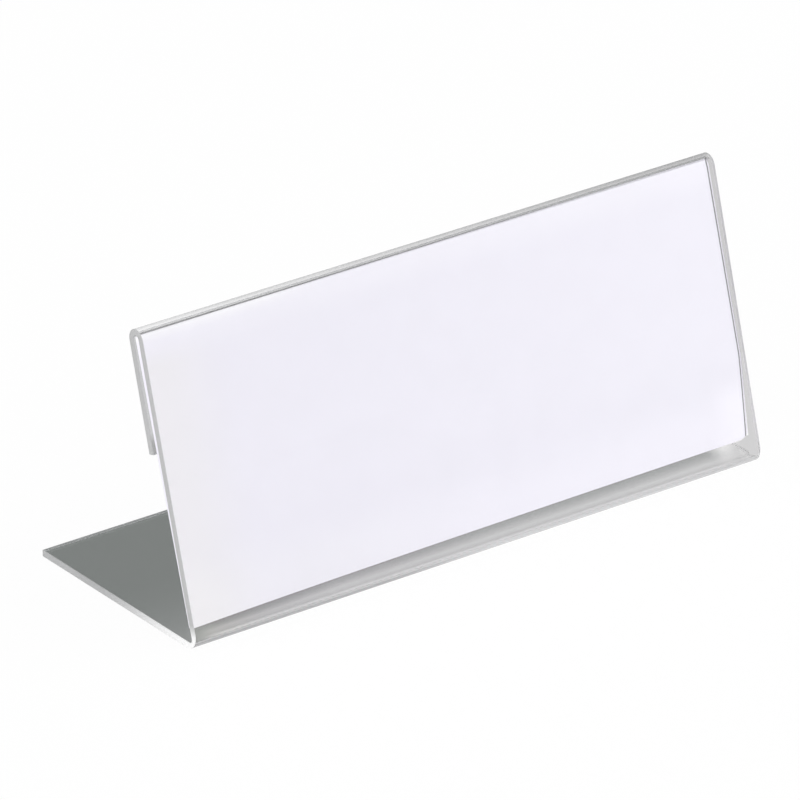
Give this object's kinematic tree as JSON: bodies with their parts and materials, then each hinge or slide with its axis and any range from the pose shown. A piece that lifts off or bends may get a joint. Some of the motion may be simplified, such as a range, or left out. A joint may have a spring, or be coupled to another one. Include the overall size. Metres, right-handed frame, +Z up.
{
  "type": "desk name plate",
  "caption": "L-shaped clear plastic name plate: flat base, panel leaning back, top folded into a flap, and a white insert card that slides out sideways.",
  "frame": {"origin": "middle of the footprint, on the desk under the base", "axes": "+X along the width, to the right seen from the front; the panel faces -Y and the base reaches back to +Y; +Z up"},
  "size_m": [0.15, 0.0584, 0.0681],
  "materials": {
    "clear_plastic": "gloss",
    "white_card": "matte"
  },
  "bodies": {
    "holder": {"holder": "clear_plastic"},
    "card": {"insert_card": "white_card"}
  },
  "joints": [
    {"name": "card_slide", "type": "slide", "parent": "holder", "child": "card", "axis": [1, 0, 0], "range_m": [-0.15, 0.15]}
  ]
}
